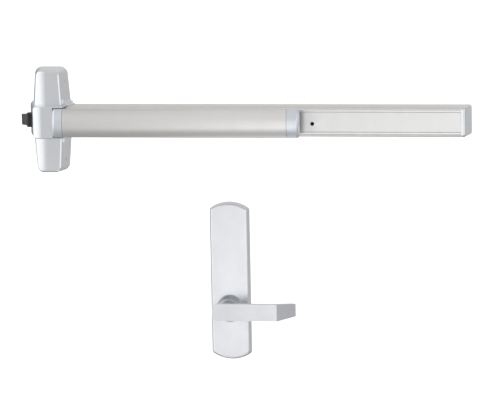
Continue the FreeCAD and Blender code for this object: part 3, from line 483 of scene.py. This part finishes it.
def end_cap():
    x0, xf, xb, h, d = 811.25, 819.0, 823.6, 28.65, 57.3
    loops = []

    def ring(x1, y, hh, r, xs):
        return [(p[0], y, p[1]) for p in rounded([(xs, -hh, 0), (x1, -hh, r), (x1, hh, r), (xs, hh, 0)], 10)]
    for y in (0.0, -18.0, -36.0):
        loops.append(ring(xb + (xf - xb) * (-y / d), y, h, 5.0, x0))
    rr = 5.0
    for k in range(9):
        t = math.radians(90.0 * k / 8)
        y = -(d - rr * (1 - math.sin(t)))
        ins = rr * (1 - math.cos(t)) * 0.92
        loops.append(ring(xb + (xf - xb) * (-y / d) - ins, y, h - ins, max(5.0 - ins * 0.6, 1.2), x0))
    bm = bmesh.new()
    loft(bm, loops)
    tidy(bm)
    o = link_mesh("channel_end_cap", bm)
    c = bmesh.new()
    loft(c, [[(809.0, 1.0, -26.0), (821.0, 1.0, -26.0), (821.0, 1.0, 26.0), (809.0, 1.0, 26.0)],
             [(809.0, -54.6, -26.0), (816.4, -54.6, -26.0), (816.4, -54.6, 26.0), (809.0, -54.6, 26.0)]])
    cut_with(o, c)
    return finish_piece(o, M["satin_chrome"], "frame", ["end_cap"], 0.35, 2, 45.0, 35.0)


def arch(inset, y, n_top=40, n_c=6):
    """Plate outline at one depth: straight sides, arched top and bottom, softened corners."""
    TX, TZ, TW, TH = 349.0, -315.0, 78.0, 308.0
    w = TW / 2 - inset
    top = TH / 2 - inset
    sag = 13.0 * (w / (TW / 2)) ** 2
    R = (w * w + sag * sag) / (2 * sag)
    zc = top - R
    k = 3.4
    half = []
    pa = Vector((w, top - sag - k))
    pb = Vector((w - k, zc + math.sqrt(R * R - (w - k) ** 2)))
    pm = Vector((w, zc + math.sqrt(R * R - w * w)))
    for i in range(n_c + 1):
        t = i / n_c
        q = pa * (1 - t) ** 2 + pm * 2 * t * (1 - t) + pb * t * t
        half.append((q.x, q.y))
    t0 = math.asin((w - k) / R)
    for i in range(1, n_top + 1):
        t = t0 * (1 - 2 * i / n_top)
        half.append((R * math.sin(t), zc + R * math.cos(t)))
    for i in range(1, n_c + 1):
        half.append((-half[n_c - i][0], half[n_c - i][1]))
    pts = half + [(-x, -z) for x, z in half]
    return [(TX + x, y, TZ + z) for x, z in pts]


def trim_plate():
    bm = bmesh.new()
    steps = [(0.5, 0.0), (0.0, -0.5), (0.0, -2.4), (0.2, -3.6), (0.6, -5.2), (2.7, -10.6), (3.3, -11.9), (4.1, -13.0),
             (5.1, -13.7), (6.3, -14.0)]
    loft(bm, [arch(i, y) for i, y in steps])
    tidy(bm)
    o = link_mesh("escutcheon_plate", bm)
    c = bmesh.new()
    loft(c, [arch(i, y) for i, y in ((4.0, 0.5), (4.0, -2.0), (9.5, -10.9))])
    cut_with(o, c)
    c = bmesh.new()
    cyl_cut(c, "y", 13.0, -20.0, -5.0, 349.0, -368.0, 64)
    cut_with(o, c)
    return finish_piece(o, M["trim_satin"], "frame", ["trim_plate"], 0.0, 2, 50.0, 30.0)


def lever_collar():
    """A shallow turned rose: a rim, a coved step and a flat top."""
    TX, HZ = 349.0, -368.0
    prof = [(13.0, -14.0), (26.4, -14.0), (26.4, -16.6), (26.2, -17.2), (25.7, -17.7), (25.0, -18.0), (24.2, -18.6),
            (22.6, -20.4), (20.8, -22.2), (19.2, -23.3), (17.4, -23.9), (16.0, -24.0), (13.3, -24.0), (13.0, -23.7)]
    bm = bmesh.new()
    seg = 96
    rows = []
    for r, y in prof:
        rows.append([bm.verts.new(Vector((TX + r * math.cos(2 * math.pi * k / seg), y,
                                          HZ + r * math.sin(2 * math.pi * k / seg))) * MM) for k in range(seg)])
    for a, b in zip(rows, rows[1:] + rows[:1]):
        for i in range(seg):
            j = (i + 1) % seg
            bm.faces.new((a[i], a[j], b[j], b[i]))
    tidy(bm)
    o = link_mesh("lever_rose", bm)
    return finish_piece(o, M["collar_satin_painted_shade"], "frame", ["lever_collar"], 0.0, 2, 50.0, 40.0)


mechanism_case()
cover_plate()
push_pad()
pad_cap("left", 43.0, 23.3)
pad_cap("right", 482.0, 504.5)
end_cap()
trim_plate()
lever_collar()
from_cad("lever", "lever_handle", M["lever_satin"], 1.8, 5, 24.0, 34.0)
# the compression springs are copied from their CAD nodes and each gets mesh data of its own
for tag in ("left", "right"):
    coil = from_cad("return_spring_" + tag, "pad_coil_spring_" + tag, M["spring_steel"], 0.0)
    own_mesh(coil)
coil = from_cad("latch_spring", "latch_coil_spring", M["spring_steel"], 0.0)
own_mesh(coil)
coil = from_cad("dead_latch_spring", "dead_latch_coil_spring", M["spring_steel"], 0.0)
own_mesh(coil)
from_cad("latch_bolt", "latch_nose_bolt", M["latch_steel"], 0.5, 3)
from_cad("dead_latch", "dead_latch_shoe", M["latch_steel_dark"], 0.5, 3)
from_cad("centre_case_cover", "centre_case_casting", M["satin_chrome"], 0.7, 3, 30.0, 34.0, 0.25)

# ------------------------------------------------------------------ camera
az, el, roll = (math.radians(v) for v in (11.762, 7.518, -1.133))
target = Vector((0.3892, 0.0, -0.1707))
back = Vector((math.sin(az) * math.cos(el), -math.cos(az) * math.cos(el), math.sin(el)))
right = (-back).cross(Vector((0, 0, 1))).normalized()
up = right.cross(-back).normalized()
r2 = right * math.cos(roll) + up * math.sin(roll)
u2 = -right * math.sin(roll) + up * math.cos(roll)
cam_data = bpy.data.cameras.new("camera")
cam_data.sensor_width = 36.0
cam_data.lens = 36.0 * 3604.5 / 500.0
cam_data.clip_end = 200.0
cam = bpy.data.objects.new("camera", cam_data)
rot = Matrix((r2, u2, back)).transposed()
cam.matrix_world = Matrix.Translation(target + back * 6.9655) @ rot.to_4x4()
scene.collection.objects.link(cam)
scene.camera = cam

# ------------------------------------------------------------------ stage and light
def disc(name, z, radius, up_sign=1):
    bm = bmesh.new()
    bmesh.ops.create_circle(bm, cap_ends=True, radius=radius, segments=96,
                            matrix=Matrix.Translation((0.39, 0.0, z)))
    me = bpy.data.meshes.new(name)
    bm.to_mesh(me)
    bm.free()
    o = bpy.data.objects.new(name, me)
    scene.collection.objects.link(o)
    return o


def stage_mat(name, colour, glow):
    t = Tree(name)
    t.bsdf.inputs["Roughness"].default_value = 0.8
    t.bsdf.inputs["Specular IOR Level"].default_value = 0.1
    soft = t.noise(t.scaled(1, 1, 1), 0.6, 2.0, 0.5)
    t.link(t.mix(soft, colour, tuple(c * 0.99 for c in colour)), t.bsdf.inputs["Base Color"])
    t.bsdf.inputs["Emission Color"].default_value = (1, 1, 1, 1)
    t.bsdf.inputs["Emission Strength"].default_value = glow
    return t.mat


floor = disc("floor", -1.15, 60.0)
floor.data.materials.append(stage_mat("floor_white", (0.92, 0.92, 0.92), 0.55))
floor.visible_glossy = False

# a pale wall all round, seen only directly
bm = bmesh.new()
bmesh.ops.create_cone(bm, cap_ends=False, segments=96, radius1=59.0, radius2=59.0, depth=60.0,
                      matrix=Matrix.Translation((0.39, 0.0, 28.0)))
for f in bm.faces:
    f.normal_flip()
me = bpy.data.meshes.new("backdrop")
bm.to_mesh(me)
bm.free()
wall = bpy.data.objects.new("backdrop", me)
scene.collection.objects.link(wall)
wall.data.materials.append(stage_mat("backdrop_white", (0.92, 0.92, 0.92), 1.0))
for flag in ("visible_glossy", "visible_diffuse", "visible_shadow", "visible_transmission"):
    setattr(wall, flag, False)

world = bpy.data.worlds.new("studio")
scene.world = world
world.use_nodes = True
wt = world.node_tree
wt.nodes.clear()
w_out = wt.nodes.new("ShaderNodeOutputWorld")
w_bg = wt.nodes.new("ShaderNodeBackground")
wt.links.new(w_bg.outputs[0], w_out.inputs[0])
w_tc = wt.nodes.new("ShaderNodeTexCoord")


def direction(az_deg, el_deg):
    a, e = math.radians(az_deg), math.radians(el_deg)
    return Vector((math.sin(a) * math.cos(e), -math.cos(a) * math.cos(e), math.sin(e)))


def w_math(op, a, b):
    n = wt.nodes.new("ShaderNodeMath")
    n.operation = op
    for i, v in enumerate((a, b)):
        if isinstance(v, (int, float)):
            n.inputs[i].default_value = v
        else:
            wt.links.new(v, n.inputs[i])
    return n.outputs[0]


def lobe(az_deg, el_deg, inner, outer, amount):
    """A soft patch of the studio, brighter or darker than the rest, around one direction."""
    d = wt.nodes.new("ShaderNodeVectorMath")
    d.operation = "DOT_PRODUCT"
    wt.links.new(w_tc.outputs["Generated"], d.inputs[0])
    d.inputs[1].default_value = direction(az_deg, el_deg)
    m = wt.nodes.new("ShaderNodeMapRange")
    m.interpolation_type = "SMOOTHSTEP"
    m.inputs["From Min"].default_value = math.cos(math.radians(outer))
    m.inputs["From Max"].default_value = math.cos(math.radians(inner))
    m.inputs["To Min"].default_value = 0.0
    m.inputs["To Max"].default_value = amount
    wt.links.new(d.outputs["Value"], m.inputs["Value"])
    return m.outputs[0]


WORLD_BASE = 0.70
WORLD_LOBES = [
    (-56, 8, 27, 41, 0.62),     # tall soft box at the left
    (64, 4, 12, 27, 0.47),      # narrow strip light at the right
    (132, 0, 22, 46, -0.15),    # darker side of the room
    (-150, -8, 8, 24, -0.40),   # dark flag behind the left side
    (-168, -30, 12, 36, -0.14),  # behind the object: darkens its outlines
    (-14, -6, 6, 34, -0.10),
    (0, -90, 30, 88, -0.30),    # floor side
    (0, 88, 20, 58, -0.07),     # nothing overhead
]
val = WORLD_BASE
for lb in WORLD_LOBES:
    val = w_math("ADD", lobe(*lb), val)
w_bg.inputs["Color"].default_value = (1, 1, 1, 1)
wt.links.new(w_math("MAXIMUM", val, 0.02), w_bg.inputs["Strength"])


def area(name, loc, aim, sx, sy, radiance, seen=False):
    d = bpy.data.lights.new(name, "AREA")
    d.shape = "RECTANGLE"
    d.size, d.size_y = sx, sy
    d.energy = radiance * math.pi * sx * sy
    o = bpy.data.objects.new(name, d)
    scene.collection.objects.link(o)
    o.location = loc
    o.rotation_euler = (Vector(aim) - Vector(loc)).to_track_quat("-Z", "Y").to_euler()
    o.visible_camera = seen
    return o


area("soft_front", (0.82, -1.50, -0.30), (0.82, 0.0, -0.30), 1.30, 0.95, 0.56)
area("soft_low", (0.40, -0.25, -1.0), (0.40, -0.25, 0.0), 0.70, 0.80, 0.60)
area("soft_trim", (0.10, -1.45, -0.62), (0.30, 0.0, -0.42), 0.95, 0.55, 0.38)
area("soft_top", (0.1, -0.9, 2.2), (0.35, 0.0, -0.1), 1.6, 1.2, 0.15)

scene.view_settings.view_transform = "Standard"
scene.view_settings.look = "None"
scene.view_settings.exposure = 0.0
scene.view_settings.gamma = 1.0
